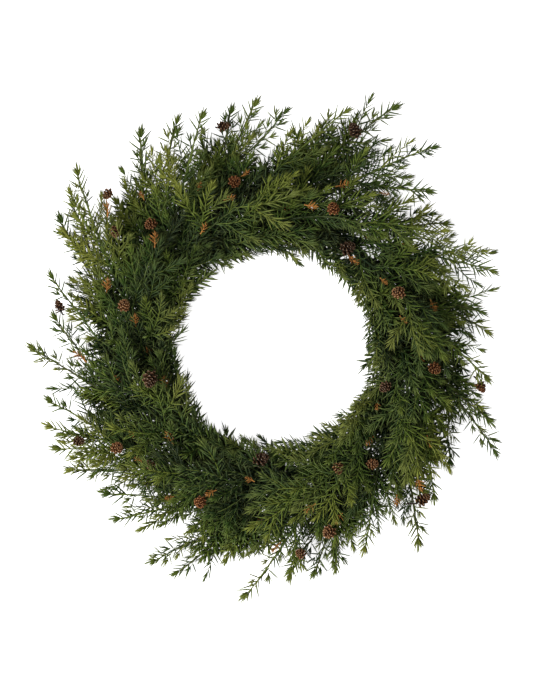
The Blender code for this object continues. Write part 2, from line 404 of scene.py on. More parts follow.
# A tapering stem along a route. tone is its band on the map and width that band's height.
def makeStem(name, route, thick, thin, tone, width, finish):
    curve = bpy.data.curves.new(name, "CURVE")
    curve.dimensions = "3D"
    curve.bevel_depth = 1.0
    curve.bevel_resolution = 0
    curve.use_fill_caps = True
    spline = curve.splines.new("POLY")
    spline.points.add(len(route) - 1)
    for number, (point, place) in enumerate(zip(spline.points, route)):
        point.co = (*place, 1.0)
        point.radius = between((thick, thin), number / (len(route) - 1))
    stem = bpy.data.objects.new(name, curve)
    bpy.context.collection.objects.link(stem)
    deselectAll()
    stem.select_set(True)
    bpy.context.view_layer.objects.active = stem
    bpy.ops.object.convert(target="MESH")
    stem = bpy.context.view_layer.objects.active
    mesh = stem.data
    sides = len(mesh.vertices) // len(route)
    for loop, place in zip(mesh.loops, newMap(mesh)):
        ring, side = divmod(loop.vertex_index, sides)
        along = 0.04 + 0.42 * ring / (len(route) - 1)
        place.uv = (along + 0.01 * (side % 2), tone + width * side / (sides - 1))
    mesh.materials.clear()
    mesh.materials.append(finish)
    mesh.shade_smooth()
    return stem


# Parts of a needle as shares of its length, width and bow.
needleParts = {
    "foot": 0.12, "middle": 0.46, "tip": 0.42, "widest": 1.15, "middleWidth": 0.80, "middleBow": 0.35,
}
needleShapes = {
    "longNeedle": {"length": 0.0235, "width": 0.0020, "thick": 0.0014, "bow": 0.0036},
    "evenNeedle": {"length": 0.0210, "width": 0.0020, "thick": 0.0014, "bow": 0.0012},
    "backNeedle": {"length": 0.0215, "width": 0.0020, "thick": 0.0014, "bow": -0.0020},
    "thinNeedle": {"length": 0.0160, "width": 0.0012, "thick": 0.0009, "bow": 0.0012},
    # shadeNeedle is broad: the low backing layer made of it, kept dark by its low tones, is painted shade
    # seen through the gaps above
    "shadeNeedle": {"length": 0.0200, "width": 0.0035, "thick": 0.0015, "bow": 0.0006},
    "dryNeedle": {"length": 0.0085, "width": 0.0013, "thick": 0.0008, "bow": 0.0018},
}


# A needle stands on +Z with its upper face towards +Y, and bows towards its upper face.
def makeNeedle(name, length, width, thick, bow, finish):
    part = needleParts
    foot = part["foot"] * length
    deselectAll()
    bpy.ops.mesh.primitive_cone_add(vertices=3, radius1=0.5 * width, radius2=0.0, depth=foot,
                                    location=(0.0, 0.0, 0.5 * foot), rotation=(math.pi, 0.0, 0.0))
    needle = bpy.context.object
    needle.scale = (part["widest"], thick / width * part["widest"], 1.0)
    bpy.ops.object.transform_apply(location=True, rotation=True, scale=True)
    selectWhere(needle.data, lambda place: place.z > 0.9 * foot)
    bpy.ops.object.mode_set(mode="EDIT")
    middle = (0.0, part["middleBow"] * bow, part["middle"] * length)
    bpy.ops.mesh.extrude_region_move(TRANSFORM_OT_translate={"value": middle})
    bpy.ops.transform.resize(value=(part["middleWidth"], part["middleWidth"], 1.0))
    tip = (0.0, (1.0 - part["middleBow"]) * bow, part["tip"] * length)
    bpy.ops.mesh.extrude_region_move(TRANSFORM_OT_translate={"value": tip})
    bpy.ops.mesh.merge(type="CENTER")
    bpy.ops.mesh.select_all(action="SELECT")
    bpy.ops.mesh.normals_make_consistent(inside=False)
    bpy.ops.object.mode_set(mode="OBJECT")
    mesh = needle.data
    corners = newMap(mesh)
    for face in mesh.polygons:
        under = face.normal.y < -0.5
        for corner in face.loop_indices:
            place = mesh.vertices[mesh.loops[corner].vertex_index].co
            along = 0.02 + 0.46 * place.z / length
            side = 0.012 * (place.x / width + 0.5) + 0.006 * (abs(place.x) < 0.1 * width)
            corners[corner].uv = (1.0 - along if under else along, side)
    mesh.materials.append(finish)
    mesh.shade_smooth()
    needle.name = name
    return putAway(needle)


# A sprig is a stem with its needles set round it by the golden angle. sprigCommon is what it has
# where its own entry says nothing. Its needles stand step apart and open, in degrees, from the
# first value at its foot to the second at its tip, where a brush of needles splays. thin is the
# share of thin needles, and tones are those of stem, needles and brush.
sprigCommon = {
    "size": 1.0, "brush": 10, "splay": (4, 32), "brushSize": (0.72, 0.95), "thin": 0.0, "stem": 0.0007,
    "needle": None, "brushNeedle": "evenNeedle", "tones": (0.20, 0.0, 0.07),
}
sprigShapes = {
    "sprig30": {"length": 0.032, "size": 0.88, "step": 0.0018, "open": (52, 30), "bend": 18, "brush": 9},
    "sprig45": {"length": 0.048, "size": 0.94, "step": 0.0022, "open": (52, 30), "bend": 22, "brush": 9,
                "stem": 0.0008},
    "sprig65": {"length": 0.066, "step": 0.0025, "open": (54, 34), "bend": 25, "stem": 0.0009},
    "sprig85": {"length": 0.084, "step": 0.0026, "open": (56, 36), "bend": 28, "stem": 0.0010},
    "fox45": {"length": 0.046, "size": 0.80, "step": 0.0013, "open": (50, 32), "bend": 20, "brush": 9},
    "fox65": {"length": 0.064, "size": 0.84, "step": 0.0014, "open": (50, 32), "bend": 24, "stem": 0.0008},
    "shade25": {"length": 0.025, "size": 0.80, "step": 0.0019, "open": (52, 34), "bend": 12, "brush": 5,
                "splay": (4, 30), "needle": "shadeNeedle"},
    "shade40": {"length": 0.040, "step": 0.0020, "open": (60, 40), "bend": 18, "brush": 5,
                "needle": "shadeNeedle", "stem": 0.0008},
    "shade60": {"length": 0.060, "step": 0.0021, "open": (60, 40), "bend": 22, "brush": 5,
                "needle": "shadeNeedle", "stem": 0.0010},
    "sparse45": {"length": 0.046, "step": 0.0024, "open": (54, 36), "bend": 14, "brush": 9, "thin": 0.45},
    "tip": {"length": 0.022, "size": 0.94, "step": 0.0026, "open": (48, 36), "bend": 6, "splay": (6, 42),
            "brushSize": (0.84, 1.06)},
    "bud": {"length": 0.012, "size": 0.84, "step": 0.0028, "open": (44, 34), "bend": 8, "brush": 7,
            "splay": (4, 40), "brushSize": (0.70, 0.94), "stem": 0.0005},
    "dried": {"length": 0.012, "step": 0.0008, "open": (58, 34), "bend": 24, "brush": 6, "splay": (4, 34),
              "needle": "dryNeedle", "brushNeedle": "dryNeedle", "tones": (0.80, 0.78, 0.79)},
}
needleMix = ("longNeedle", "evenNeedle", "backNeedle", "longNeedle")
# How the needles of all sprigs vary. first and last are where a sprig's needles start, in metres,
# and end, as a share of its length. They grow from footSize by swell, and past fallFrom lose fall.
needleHabit = {
    "first": 0.003, "last": 0.94, "pace": (0.7, 1.3), "turn": 16.0, "sway": 8.0, "sizes": (0.86, 1.10),
    "footSize": 0.74, "swell": 1.6, "fall": 0.30, "fallFrom": 0.6, "tones": (0.0, 0.05),
    "brushAt": (0.90, 0.995), "brushFall": 0.008, "brushTones": (0.0, 0.04), "stemEnd": 0.45,
}
runHabit = {"sway": (-16.0, 12.0), "tones": (0.0, 0.06)}


def setNeedle(route, along, turn, opening, size, tone, kind):
    point, heading = onRoute(route, along)
    side = heading.orthogonal().normalized()
    side = Matrix.Rotation(math.radians(turn), 3, heading) @ side
    spread = math.radians(opening)
    grow = heading * math.cos(spread) + side * math.sin(spread)
    upper = heading * math.sin(spread) - side * math.cos(spread)
    flat = grow.cross(Vector((0.0, 1.0, 0.0)))
    toward = flat if flat.length > 0.4 else upper.cross(grow)
    most = bands["mostDried"] if kind == "dryNeedle" else bands["mostGreen"]
    return placed(needles[kind], point, grow, toward, size, tone, most)


def growSprig(name, shape, chance, finish):
    shape, habit = {**sprigCommon, **shape}, needleHabit
    length = shape["length"]
    route = arcRoute(length, shape["bend"], 3 if length < 0.05 else 4)
    stemTone, needleTone, brushTone = shape["tones"]
    pieces = [makeStem(name, route, shape["stem"], habit["stemEnd"] * shape["stem"], stemTone,
                       bands["stemWidth"], finish)]
    along, number = habit["first"], 0
    while along < habit["last"] * length:
        share = along / length
        opening = between(shape["open"], share)
        past = max(0.0, share - habit["fallFrom"]) / (1.0 - habit["fallFrom"])
        size = min(1.0, habit["footSize"] + habit["swell"] * share) * (1.0 - habit["fall"] * past)
        size *= shape["size"]
        kind = shape["needle"] or chance.choice(needleMix)
        if shape["thin"] and chance.random() < shape["thin"]:
            kind = "thinNeedle"
        pieces.append(setNeedle(route, along,
                                goldenAngle * number + chance.uniform(-habit["turn"], habit["turn"]),
                                opening + chance.uniform(-habit["sway"], habit["sway"]),
                                size * chance.uniform(*habit["sizes"]),
                                needleTone + chance.uniform(*habit["tones"]), kind))
        along += shape["step"] * chance.uniform(*habit["pace"])
        number += 1
    for number in range(shape["brush"]):
        splay = chance.uniform(*shape["splay"])
        pieces.append(setNeedle(route, length * chance.uniform(*habit["brushAt"]), goldenAngle * number,
                                splay,
                                chance.uniform(*shape["brushSize"]) * (1.0 - habit["brushFall"] * splay),
                                brushTone + chance.uniform(*habit["brushTones"]), shape["brushNeedle"]))
    return putAway(joined(pieces, name))


# A short straight run of needles with no stem, to clothe a long twig piece by piece.
runShapes = {
    "lushRun": {"length": 0.012, "count": 6, "open": 54, "sizes": (0.70, 1.02), "kinds": needleMix},
    "sparseRun": {"length": 0.012, "count": 3, "open": 44, "sizes": (0.46, 0.82),
                  "kinds": ("evenNeedle", "thinNeedle")},
    "lowRun": {"length": 0.012, "count": 8, "open": 62, "sizes": (0.80, 1.10), "kinds": ("shadeNeedle",)},
}


def growRun(name, shape, chance):
    route = [Vector((0.0, 0.0, 0.0)), Vector((0.0, 0.0, shape["length"]))]
    pieces = []
    first = chance.uniform(0.0, 360.0)
    for number in range(shape["count"]):
        along = shape["length"] * (number + chance.random()) / shape["count"]
        kind = chance.choice(shape["kinds"])
        pieces.append(setNeedle(route, along, first + goldenAngle * number,
                                shape["open"] + chance.uniform(*runHabit["sway"]),
                                chance.uniform(*shape["sizes"]), chance.uniform(*runHabit["tones"]),
                                kind))
    return putAway(joined(pieces, name))


# A branchlet is a sprig with smaller ones on both sides: each one's kind and place along it.
branchShapes = {
    "broad": {"main": "sprig85", "subs": (("sprig45", 0.16), ("sprig45", 0.36), ("sprig30", 0.54))},
    "mid": {"main": "sprig65", "subs": (("sprig45", 0.20), ("sprig30", 0.48))},
    "under": {"main": "shade60", "subs": (("shade40", 0.15), ("shade40", 0.35))},
    "lowTwig": {"main": "shade40", "subs": ()},
    "lowTip": {"main": "shade25", "subs": ()},
    "slim": {"main": "fox65", "subs": (("bud", 0.30), ("bud", 0.56))},
    "tiny": {"main": "fox45", "subs": ()},
    "thin": {"main": "sparse45", "subs": ()},
    "bud": {"main": "bud", "subs": ()},
}
subHabit = {
    "jitter": 0.03, "angles": (32.0, 48.0), "lift": 0.35, "sizes": (0.88, 1.10), "tones": (0.0, 0.06),
}


def growBranchlet(name, shape, chance):
    main = pick(shape["main"], chance)
    pieces = [placed(main, Vector(), upward, Vector((1.0, 0.0, 0.0)))]
    mainShape = sprigShapes[shape["main"]]
    route = arcRoute(mainShape["length"], mainShape["bend"], 8)
    flat = Vector((0.0, 1.0, 0.0))
    side = chance.choice((-1.0, 1.0))
    for kind, share in shape["subs"]:
        share += chance.uniform(-subHabit["jitter"], subHabit["jitter"])
        point, heading = onRoute(route, mainShape["length"] * share)
        leave = Matrix.Rotation(side * math.radians(chance.uniform(*subHabit["angles"])), 3, flat) @ heading
        leave = leave + flat * chance.uniform(-subHabit["lift"], subHabit["lift"])
        pieces.append(placed(pick(kind, chance), point, leave, heading, chance.uniform(*subHabit["sizes"]),
                             chance.uniform(*subHabit["tones"])))
        side = -side
    return putAway(joined(pieces, name))


def pick(kind, chance):
    return chance.choice(stock[kind])


# Sprays are laid as the frame's tiers are. slot, bound, leave and leaves lay the stem, all in
# degrees: its place round the rod, the arc under the wire, the angle at which it comes free and
# where the first one does.
# Tips and side twigs are (degrees round the wreath, distance from its centre). Tones go up from
# tone, by twig within lift and by branchlet within vary. tone is painted shade: it is lower for the
# tiers that lie lower in the wreath.
tiers = {
    "back_spray": {
        "slot": -20.0, "bound": 20.0, "leave": 21.0, "leaves": 133.42, "handles": (0.050, 0.075),
        "heights": (0.0155, 0.020), "heading": 28.0, "depth": 0.30, "tone": 0.04,
        "slotName": "back_foliage", "vary": (-0.11, 0.14), "lift": (-0.11, 0.12), "bark": 0.91,
        "tips": ((94.4, 0.303), (63.5, 0.331), (36.0, 0.264), (5.0, 0.264),
                 (-24.8, 0.300), (-53.0, 0.295), (-80.0, 0.282), (-113.5, 0.301),
                 (-149.0, 0.290), (-180.0, 0.297), (-211.0, 0.306), (-238.0, 0.310)),
        "sides": {0: ((99.9, 0.300), (87.3, 0.295)), 2: ((40.5, 0.258),), 3: ((10.0, 0.261),),
                  4: ((-18.3, 0.277), (-32.4, 0.262)), 6: ((-74.5, 0.281), (-85.3, 0.274)),
                  7: ((-119.8, 0.303),), 9: ((173.0, 0.274),), 10: ((144.5, 0.305),),
                  11: ((113.5, 0.306),)},
    },
    "front_spray": {
        "slot": 45.0, "bound": 20.0, "leave": 24.0, "leaves": 121.33, "handles": (0.055, 0.075),
        "heights": (0.053, 0.052), "heading": 33.0, "depth": 0.30, "tone": 0.10,
        "slotName": "front_foliage", "vary": (-0.12, 0.18), "lift": (-0.16, 0.16), "bark": 0.38,
        "tips": ((73.0, 0.304), (51.4, 0.315), (19.7, 0.283), (-8.0, 0.264),
                 (-43.0, 0.268), (-66.0, 0.270), (-96.7, 0.302), (-133.0, 0.284),
                 (-161.0, 0.290), (-198.0, 0.286), (-222.0, 0.322), (-253.0, 0.298)),
        "sides": {1: ((46.0, 0.272),), 7: ((-138.5, 0.270),), 8: ((-155.5, 0.291), (-167.0, 0.284)),
                  10: ((142.5, 0.312),)},
    },
    "crown_spray": {
        "slot": 110.0, "bound": 33.0, "leave": 24.0, "leaves": 154.25, "handles": (0.070, 0.070),
        "heights": (0.084, 0.080), "heading": 84.0, "depth": 0.34, "tone": 0.19,
        "slotName": "crown_foliage", "vary": (-0.14, 0.22), "lift": (-0.20, 0.20), "bark": 0.42,
        "tips": ((90.0, 0.182), (45.0, 0.188), (0.0, 0.180), (-45.0, 0.190),
                 (-90.0, 0.182), (-135.0, 0.190), (-180.0, 0.184), (-225.0, 0.188)),
        "sides": {},
    },
    "inner_spray": {
        "slot": 180.0, "bound": 31.0, "leave": 24.0, "leaves": 142.36, "handles": (0.045, 0.050),
        "heights": (0.036, 0.040), "heading": 92.0, "depth": 0.55, "tone": 0.04,
        "slotName": "inner_foliage", "vary": (-0.08, 0.14), "lift": (-0.14, 0.14), "bark": 0.34,
        "tips": ((90.0, 0.129), (45.0, 0.131), (0.0, 0.128), (-45.0, 0.131),
                 (-90.0, 0.129), (-135.0, 0.130), (-180.0, 0.128), (-225.0, 0.130)),
        "sides": {},
    },
}
# How densely each tier is clothed: spacing of its branchlets, their angles from the twig at its
# foot and its tip, the bare end, how often a low twig takes the place of a branchlet, and the
# edge of the body. Kinds go by the room up to that edge, and full moves it for single sprays.
habits = {
    "back_spray": {"spacing": (0.0054, 0.0106), "angles": (52.0, 28.0), "bare": 0.022, "under": 0.205,
                   "low": 0.65, "body": 0.218, "follow": 0.67,
                   "full": {1: 0.022, 2: -0.020, 3: 0.014, 5: 0.008, 7: 0.010, 8: -0.006, 9: -0.008,
                            10: -0.026, 11: 0.006}},
    "front_spray": {"spacing": (0.0145, 0.0150), "angles": (50.0, 28.0), "bare": 0.022, "under": 0.0,
                    "low": 0.0, "body": 0.219, "follow": 0.67,
                    "full": {1: 0.014, 2: 0.026, 4: 0.008, 5: 0.018, 6: 0.008, 7: 0.010, 8: 0.012,
                             9: -0.026, 10: 0.014, 11: 0.014}},
    "crown_spray": {"spacing": (0.0210, 0.0190), "angles": (44.0, 24.0), "bare": 0.020, "under": 0.0,
                    "low": 0.0, "body": 0.240, "follow": 0.0, "full": {}},
    "inner_spray": {"spacing": (0.0070, 0.0080), "angles": (38.0, 20.0), "bare": 0.012, "under": 0.0,
                    "low": 0.5, "body": 0.195, "follow": 0.0, "full": {}},
}
kindsByRoom = (
    (0.084, "broad"), (0.056, "mid"), (0.034, "slim"), (0.016, "tiny"), (0.006, "thin"), (-1.0, "bud"),
)
# low kinds are of broad shade needles: a backing that the tones keep dark in the body, painted shade between
# the sprays
lowKindsByRoom = ((0.046, "under"), (0.024, "lowTwig"), (0.012, "lowTip"))
runsByRoom = ((0.018, "lowRun"), (0.0, "lushRun"), (-1.0, "sparseRun"))
# what takes the place of a branchlet that is in the way
nextKind = {
    "broad": "mid", "mid": "tiny", "slim": "tiny", "tiny": "bud", "thin": "bud",
    "under": "lowTwig", "lowTwig": "lowTip", "lowTip": "bud",
}
shortTwig = 0.264        # the body reaches farther out where a twig ends beyond this
clearing = 0.0065        # radius kept free over a cone
holeEdge = (0.097, 0.119)      # no branchlet comes nearer to the middle than this
heights = {"floor": 0.005, "top": 0.098, "most": 0.115}     # foliage past these is pressed back
# Along a twig: where its own needles start, how far from its end they, its tip sprig and its
# stem stop, and how thick it is. Then sizes, and how far a branchlet turns and sways, in degrees.
# neck is how thick a twig starts, as a share of its bare stem.
twigShape = {
    "foot": 0.006, "last": 0.026, "tip": 0.027, "bare": 0.006, "thin": 0.0007, "sideThick": 0.0014,
    "runs": (0.92, 1.06), "tips": (0.9, 1.1), "branchlets": (0.86, 1.06), "turn": 28.0, "sway": 8.0,
    "pace": (0.75, 1.25), "room": (-0.008, 0.010), "tipTone": -0.01, "neck": 0.95,
}
# A side twig starts at this share of its main one, and its tip may lie higher or lower.
sideShape = {"start": (0.36, 0.46), "rise": (-0.006, 0.010), "turn": 4.0, "handles": (0.33, 0.36),
             "steps": 16}
# Painted light and shade in the tones: lighter at the hole and towards the edge, darker in the thick
# of the body, and darker low and lighter high over the thick of the ring. Sprigs are grown lighter by
# start, so that none is cut off at nought before its painted shade is known.
shading = {
    "start": 0.24, "level": 0.062, "slope": 6.0, "rise": 0.45,
    "reach": ((0.115, 0.0), (0.145, 1.0), (0.190, 1.0), (0.235, 0.0)),
    "tones": ((0.100, 0.17), (0.128, 0.14), (0.147, -0.12), (0.190, -0.13), (0.220, 0.08), (0.250, 0.22),
              (0.290, 0.28)),
}


def polar(degrees, radius, height=0.0):
    angle = math.radians(degrees)
    return Vector((radius * math.cos(angle), radius * math.sin(angle), height))


def inWreath(degrees, radius, height):
    return polar(degrees, radius, height - wreath["ringHeight"]) + centre


def clockwise(degrees):
    return polar(degrees - 90.0, 1.0)


def tipHeading(degrees, heading):
    angle = math.radians(heading)
    return polar(degrees, 1.0) * math.cos(angle) + clockwise(degrees) * math.sin(angle)


def fromMiddle(point):
    return (point - centre).to_2d().length


# The bare stem under the wire, and the free twig past it.
def sprayRoutes(tier, index):
    reach = wreath["ringRod"] + wreath["gap"] + wreath["stem"]
    slot = math.radians(tier["slot"])
    out, up = reach * math.cos(slot), reach * math.sin(slot)
    leaving = tier["leaves"] - 360.0 / len(tier["tips"]) * index
    steps = math.ceil(tier["bound"] / wreath["boundStep"])
    bound = []
    for step in range(steps + 1):
        degrees = leaving + tier["bound"] * (1.0 - step / steps)
        bound.append(inWreath(degrees, wreath["ringRadius"] + out, wreath["ringHeight"] + up))
    leave = math.radians(tier["leave"])
    away = polar(leaving, out, up).normalized()
    first = clockwise(leaving) * math.cos(leave) + away * math.sin(leave)
    degrees, distance = tier["tips"][index]
    tip = inWreath(degrees, distance, tier["heights"][1])
    third = tip - tipHeading(degrees, tier["heading"]) * tier["handles"][1]
    third.z = tier["heights"][0] - wreath["ringHeight"] + centre.z
    return bound, bezierRoute((bound[-1], bound[-1] + first * tier["handles"][0], third, tip))


def sideRoute(tier, route, degrees, distance, chance):
    start, heading = onRoute(route, routeLength(route) * chance.uniform(*sideShape["start"]))
    tip = inWreath(degrees, distance, tier["heights"][1] + chance.uniform(*sideShape["rise"]))
    span = (tip - start).length
    last = tipHeading(degrees, tier["heading"] - sideShape["turn"])
    early, late = sideShape["handles"]
    return bezierRoute((start, start + heading * early * span, tip - last * late * span, tip),
                       sideShape["steps"])


def byRoom(kinds, room):
    return next(kind for least, kind in kinds if room >= least)


def kindAt(point, body, habit, chance):
    distance = fromMiddle(point)
    room = body - distance + chance.uniform(*twigShape["room"])
    if room > lowKindsByRoom[-1][0] and (distance < habit["under"] or chance.random() < habit["low"]):
        return byRoom(lowKindsByRoom, room)
    return byRoom(kindsByRoom, room)


# A branchlet may not reach into the hole or hide a cone.
def inTheWay(piece, edge):
    across, along, height = placeRows(piece.data).T
    distances = numpy.sort(numpy.hypot(across - centre.x, along - centre.y))
    if distances[len(distances) // 100] < edge:
        return True
    return any(((numpy.hypot(across - spot.x, along - spot.y) < clearing) & (height > spot.z)).any()
               for spot in coneSpots)


# Painted light and shade: a branchlet that rises is given a lighter tone than one that dips.
def toneAt(tier, chance, lift, rise=0.0):
    return (shading["start"] + tier["tone"] + lift + shading["rise"] * rise
            + chance.triangular(*tier["vary"], 0.0))


# Needles along a twig's own stem: few past the body, and broad ones low in it.
def addRuns(pieces, tier, habit, route, chance, body, lift):
    along, last = twigShape["foot"], routeLength(route) - twigShape["last"]
    while along < last:
        point, heading = onRoute(route, along)
        kind = byRoom(runsByRoom, body - fromMiddle(point))
        run = pick("lushRun" if kind == "lowRun" and not habit["low"] else kind, chance)
        across = heading.cross(upward) * chance.choice((-1.0, 1.0))
        pieces.append(placed(run, point, heading, across, chance.uniform(*twigShape["runs"]),
                             toneAt(tier, chance, lift)))
        along += runShapes["lushRun"]["length"]


# Branchlets on both sides in turn, each of the largest kind that keeps out of the way.
def addBranchlets(pieces, tier, habit, route, chance, body, lift):
    length = routeLength(route)
    side = chance.choice((-1.0, 1.0))
    along = 0.5 * habit["spacing"][0]
    while along < length - habit["bare"]:
        share = along / length
        point, heading = onRoute(route, along)
        kind = kindAt(point, body, habit, chance)
        across = heading.cross(upward).normalized()
        flat = across.cross(heading).normalized()
        turn = math.radians(chance.uniform(-twigShape["turn"], twigShape["turn"]))
        flat = Matrix.Rotation(turn, 3, heading) @ flat
        angle = between(habit["angles"], share) + chance.uniform(-twigShape["sway"], twigShape["sway"])
        leave = Matrix.Rotation(side * math.radians(angle), 3, flat) @ heading
        leave = leave + flat * chance.uniform(-1.0, 1.0) * tier["depth"]
        leave.normalize()
        edge = chance.uniform(*holeEdge)
        while True:
            piece = placed(pick(kind, chance), point, leave, heading,
                           chance.uniform(*twigShape["branchlets"]), toneAt(tier, chance, lift, leave.z))
            if kind == "bud" or not inTheWay(piece, edge):
                break
            bpy.data.objects.remove(piece)
            kind = nextKind[kind]
        pieces.append(piece)
        side = -side
        along += between(habit["spacing"], share) * chance.uniform(*twigShape["pace"])


# One twig: its stem, needles along it, a brush at its tip and branchlets on its sides.
def clothe(tier, habit, route, chance, thick, full):
    length = routeLength(route)
    body = habit["body"] + full + habit["follow"] * (fromMiddle(route[-1]) - shortTwig)
    lift = chance.uniform(*tier["lift"])
    bare = route[:-1] + [onRoute(route, length - twigShape["bare"])[0]]
    pieces = [makeStem("twig", bare, thick, twigShape["thin"], tier["bark"], bands["barkWidth"],
                       foliageFinish)]
    addRuns(pieces, tier, habit, route, chance, body, lift)
    point, heading = onRoute(route, length - twigShape["tip"])
    pieces.append(placed(pick("tip", chance), point, heading, heading.cross(upward),
                         chance.uniform(*twigShape["tips"]),
                         toneAt(tier, chance, lift) + twigShape["tipTone"]))
    addBranchlets(pieces, tier, habit, route, chance, body, lift)
    return pieces


# Foliage that would reach through the floor lies along it instead, and the top stays low.
def settle(mesh):
    places = placeRows(mesh)
    height, floor, top = places[:, 2], heights["floor"], heights["top"]
    low = height < floor
    height[low] = floor * numpy.exp((height[low] - floor) / floor)
    high, room = height > top, heights["most"] - top
    height[high] = heights["most"] - room * numpy.exp((top - height[high]) / room)
    mesh.vertices.foreach_set("co", places.ravel())
    mesh.update()


# Painted shade and light: needles low in the body get a lower tone and the top ones a higher one, and
# every needle's tone follows the painted light and shade set by distance from the middle.
def shadeNeedles(mesh):
    across, along, height = placeRows(mesh).T
    corners = numpy.empty(len(mesh.loops), "i")
    mesh.loops.foreach_get("vertex_index", corners)
    distance = numpy.hypot(across - centre.x, along - centre.y)[corners]
    shift = shading["slope"] * (height[corners] - shading["level"])
    shift *= numpy.interp(distance, *zip(*shading["reach"]))
    shift += numpy.interp(distance, *zip(*shading["tones"])) - shading["start"]
    values = mapArray(mesh)
    tone = values[1::2]
    green = tone < bands["green"]
    tone[green] = numpy.clip(tone[green] + shift[green], 0.0, bands["mostShaded"])
    mesh.uv_layers["OFBake"].data.foreach_set("uv", values)


def growSpray(name, tierName, index):
    tier, habit = tiers[tierName], habits[tierName]
    chance = random.Random(name)
    bound, route = sprayRoutes(tier, index)
    pieces = [makeStem("stem", bound, wreath["stem"], wreath["stem"], bands["bark"], bands["barkWidth"],
                       foliageFinish)]
    full = habit["full"].get(index, 0.0)
    pieces += clothe(tier, habit, route, chance, wreath["stem"] * twigShape["neck"], full)
    for degrees, distance in tier["sides"].get(index, ()):
        side = sideRoute(tier, route, degrees, distance, chance)
        pieces += clothe(tier, habit, side, chance, twigShape["sideThick"], full)
    return pieces


# Dried tips that show among the green: (degrees round the wreath, distance from its centre).
driedTips = (
    (170, 0.172), (160, 0.212), (141, 0.257), (139, 0.192), (131, 0.250), (121, 0.167), (115, 0.217),
    (107, 0.187), (99, 0.212), (87, 0.170), (75, 0.172), (68, 0.215), (55, 0.230), (49, 0.145),
    (49, 0.175), (39, 0.205), (32, 0.155), (16, 0.197), (12, 0.155), (-2, 0.175), (-28, 0.142),
    (-31, 0.210), (-42, 0.237), (-44, 0.162), (-51, 0.232), (-69, 0.220), (-76, 0.195), (-88, 0.237),
    (-94, 0.210), (-100, 0.157), (-113, 0.185), (-125, 0.220), (-138, 0.167), (-141, 0.210),
    (-149, 0.195), (-162, 0.147), (-169, 0.197), (-176, 0.157), (-176, 0.235),
)

# They turn along the ring from the first angle at the edge to the second inside, zone away.
driedHabit = {
    "turn": (30.0, 85.0), "edge": 0.26, "zone": 0.10, "sway": 25.0, "rise": (0.0, 0.5), "lift": 0.003,
    "foot": 0.006, "sizes": (0.8, 1.35), "above": 0.3, "middle": 0.05,
}


def treeOf(mesh):
    return BVHTree.FromPolygons([vertex.co for vertex in mesh.vertices],
                                [tuple(face.vertices) for face in mesh.polygons])


# The highest spray under a place, and its height there.
def topSpray(trees, degrees, distance):
    above = inWreath(degrees, distance, driedHabit["above"])
    best = None
    for name, tree in trees.items():
        hit = tree.ray_cast(above, -upward)[0]
        if hit and (best is None or hit.z > best[1].z):
            best = (name, hit)
    if best is None:
        middle = inWreath(degrees, distance, driedHabit["middle"])
        near = {name: tree.find_nearest(middle) for name, tree in trees.items()}
        name = min(near, key=lambda key: near[key][3])
        best = (name, near[name][0])
    return best


def foliagePlaces(pieces):
    return numpy.concatenate([placeRows(piece.data) for piece in pieces])


# The place of the foliage nearest to a spot, with its height counted less where upright is small.
def nearestPlace(places, spot, upright=1.0):
    offsets = (places - numpy.array(spot)) * (1.0, 1.0, upright)
    return Vector(places[(offsets ** 2).sum(axis=1).argmin()].tolist())


def growDriedTip(place, degrees, distance, chance, places):
    habit = driedHabit
    inside = min(1.0, max(0.0, (habit["edge"] - distance) / habit["zone"]))
    turn = between(habit["turn"], inside) + chance.uniform(-habit["sway"], habit["sway"])
    heading = tipHeading(degrees, turn) + upward * chance.uniform(*habit["rise"])
    foot = place + upward * habit["lift"] - heading.normalized() * habit["foot"]
    return placed(pick("dried", chance), nearestPlace(places, foot), heading, upward,
                  chance.uniform(*habit["sizes"]))


coneShapes = {
    "length": 0.0205, "core": 0.0034, "count": 40, "scaleLong": 0.0066, "scaleWide": 0.0045,
    "thick": 0.0009, "openings": (98.0, 26.0), "fill": 0.94, "toneSpan": 0.85,
    "stalk": (0.0011, 0.0010), "stalkTone": 0.02, "stalkWidth": 0.03, "stalkReach": 0.003,
    "stalkFall": 0.004, "sway": 6.0, "sizes": (0.94, 1.06), "tones": (0.0, 0.04), "spin": 7.0,
}
smallCone = {"height": 0.062, "upright": 0.3, "lift": 0.003, "lean": 40.0, "tones": (0.1, 0.6)}
# (degrees round the wreath, length, lean), in the order of the frame's cones, and their tones
cadCones = (
    (68.8, 0.022, 50.0), (104.0, 0.018, 60.0), (103.7, 0.020, 20.0), (133.8, 0.019, 35.0),
    (66.8, 0.020, 25.0), (54.9, 0.023, 40.0), (23.8, 0.021, 30.0), (164.5, 0.020, 25.0),
    (170.2, 0.018, 70.0), (-6.4, 0.020, 30.0), (192.1, 0.025, 35.0), (-9.2, 0.018, 60.0),
    (212.3, 0.020, 25.0), (261.2, 0.024, 45.0), (-50.1, 0.018, 30.0), (244.0, 0.020, 20.0),
    (-46.7, 0.021, 60.0), (-72.7, 0.022, 25.0),
)
coneTones = (
    0.12, 0.3, 1.0, 0.7, 0.95, 0.08, 0.5, 0.5, 0.25, 0.8, 0.18, 0.75, 0.6, 0.08, 0.55, 1.0, 0.35, 0.5,
)
# (degrees round the wreath, distance from its centre, length), half hidden and not in the frame
smallCones = (
    (136.8, 0.272, 0.017), (143.8, 0.237, 0.018), (-20.2, 0.140, 0.018), (205.1, 0.258, 0.017),
    (223.0, 0.203, 0.016), (-82.3, 0.250, 0.017), (-62.1, 0.164, 0.018),
)


